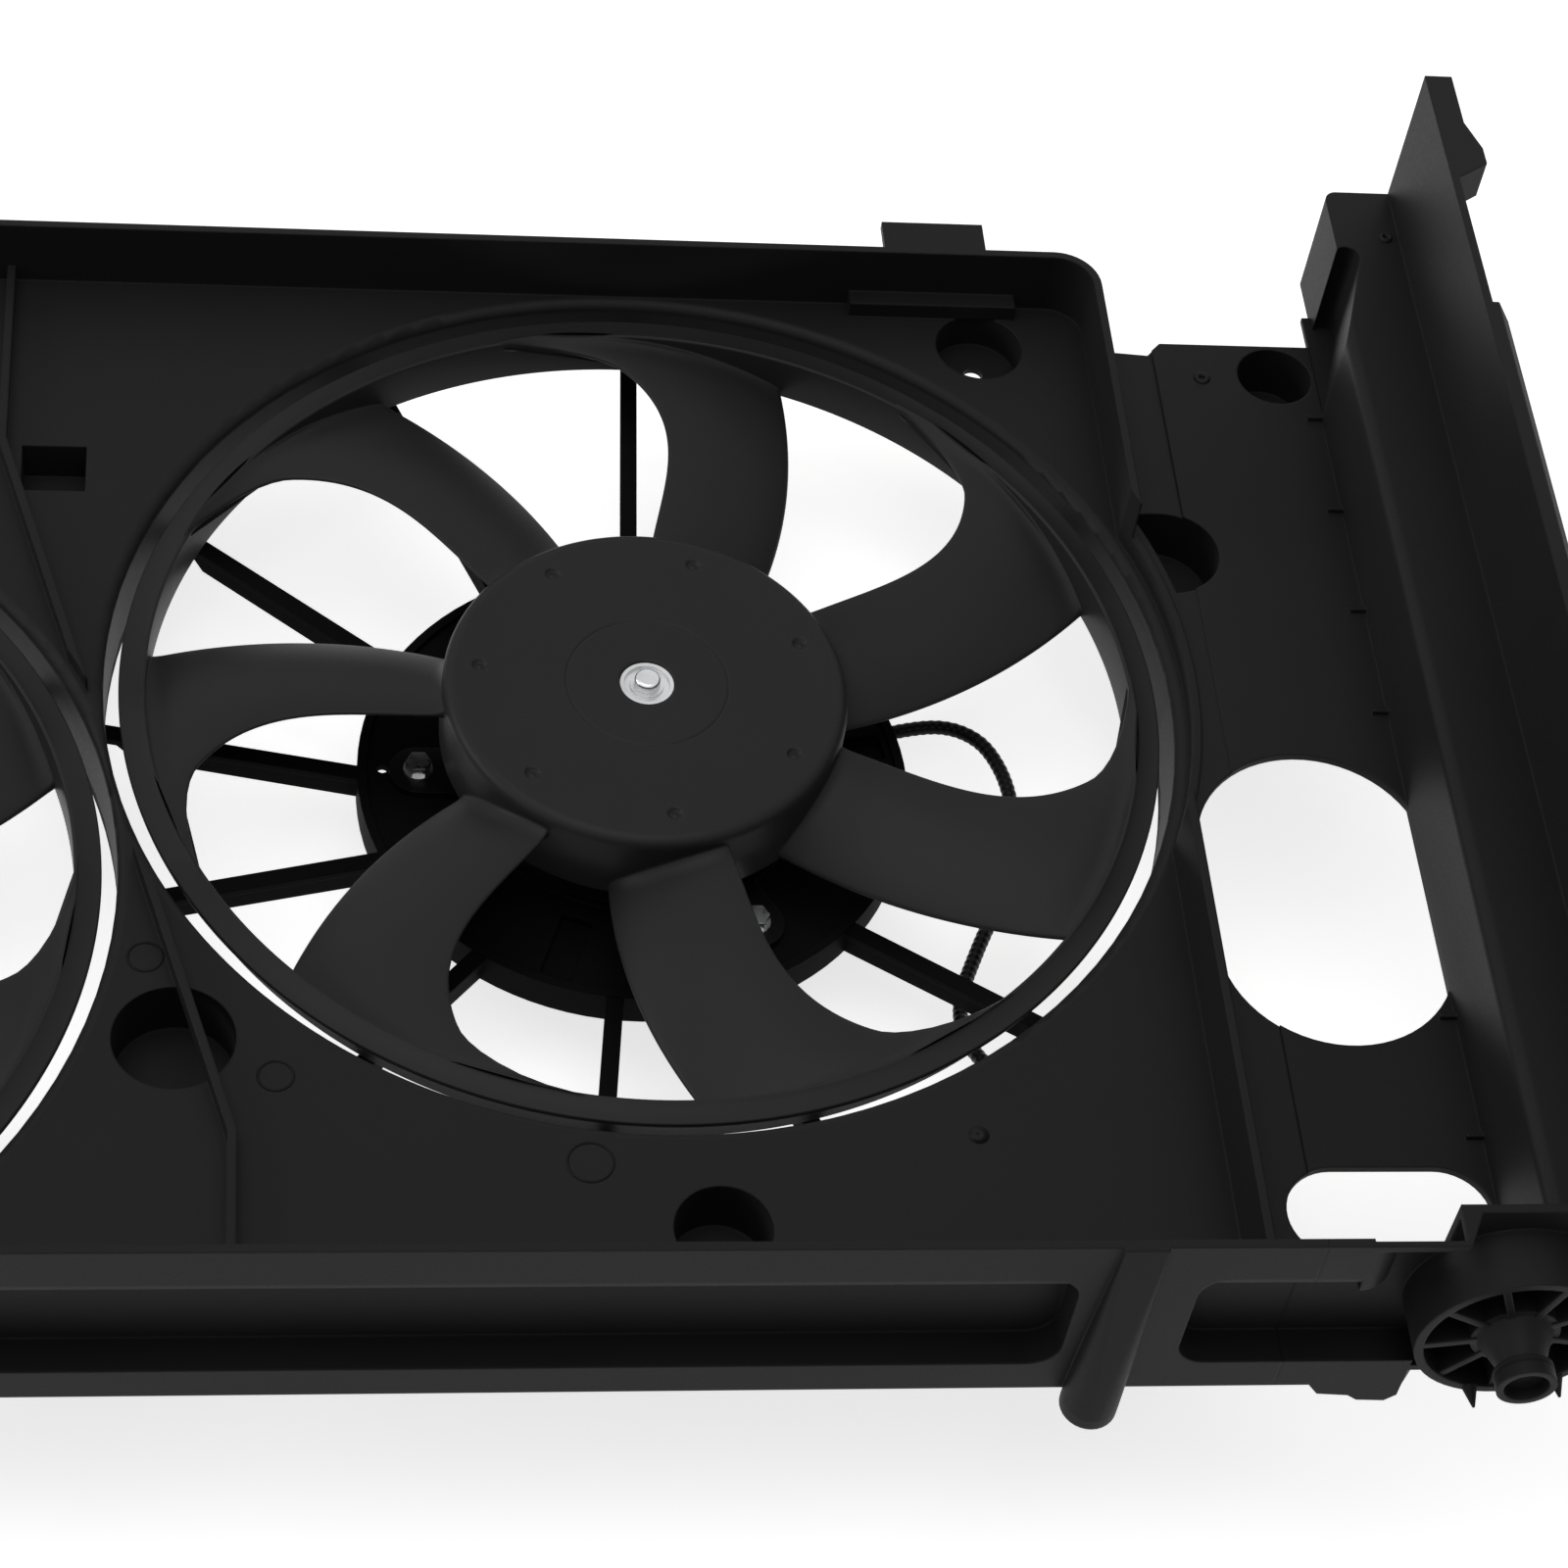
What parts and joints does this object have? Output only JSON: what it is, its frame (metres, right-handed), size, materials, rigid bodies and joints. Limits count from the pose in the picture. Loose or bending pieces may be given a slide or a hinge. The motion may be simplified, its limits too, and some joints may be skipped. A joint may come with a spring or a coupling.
{
  "type": "radiator cooling fan",
  "caption": "Twin ring-fan radiator cooling module: moulded shroud tray with stepped side carriers, foot pins and hooks, and two electric motors driving swept-blade fans.",
  "frame": {"origin": "middle of the part's footprint on the floor, with the part lying on its motors and the radiator side up", "axes": "+X across the car along the shroud's length, +Y up the radiator, from the feet to the hooks, +Z out of the fans towards the radiator"},
  "size_m": [0.861, 0.4512, 0.186],
  "materials": {
    "shroud_plastic": "fine grained black glass-filled nylon",
    "fan_plastic": "smooth black glass-filled nylon",
    "motor_paint": "black electrocoat on steel",
    "bright_steel": "bright zinc plate",
    "core_steel": "varnished laminations",
    "copper": "enamelled copper",
    "ferrite": "ground ferrite",
    "brush_card": "phenolic board",
    "connector_plastic": "moulded nylon",
    "lead_sheath": "ribbed sheath"
  },
  "bodies": {
    "root": {"shroud_tray": "shroud_plastic", "right_carrier": "shroud_plastic", "left_carrier": "shroud_plastic", "right_spider": "shroud_plastic", "left_spider": "shroud_plastic", "right_motor_can": "motor_paint", "left_motor_can": "motor_paint", "right_end_cap": "motor_paint", "left_end_cap": "motor_paint", "right_mount_flange": "motor_paint", "left_mount_flange": "motor_paint", "right_magnets": "ferrite", "left_magnets": "ferrite", "right_bearings": "bright_steel", "left_bearings": "bright_steel", "right_brush_card": "brush_card", "left_brush_card": "brush_card", "motor_screws": "bright_steel", "right_connector": "connector_plastic", "left_connector": "connector_plastic", "right_lead": "lead_sheath", "left_lead": "lead_sheath"},
    "right_fan": {"right_impeller": "fan_plastic", "right_hub_insert": "bright_steel", "right_shaft": "bright_steel", "right_armature": "core_steel", "right_windings": "copper", "right_commutator": "copper", "right_shaft_nut": "bright_steel"},
    "left_fan": {"left_impeller": "fan_plastic", "left_hub_insert": "bright_steel", "left_shaft": "bright_steel", "left_armature": "core_steel", "left_windings": "copper", "left_commutator": "copper", "left_shaft_nut": "bright_steel"}
  },
  "joints": [
    {"name": "right_fan_spin", "type": "hinge", "parent": "root", "child": "right_fan", "pos_m": [0.1615, 0.043, 0.086], "axis": [0, 0, 1], "continuous": true},
    {"name": "left_fan_spin", "type": "hinge", "parent": "root", "child": "left_fan", "pos_m": [-0.1615, -0.033, 0.086], "axis": [0, 0, 1], "continuous": true}
  ]
}
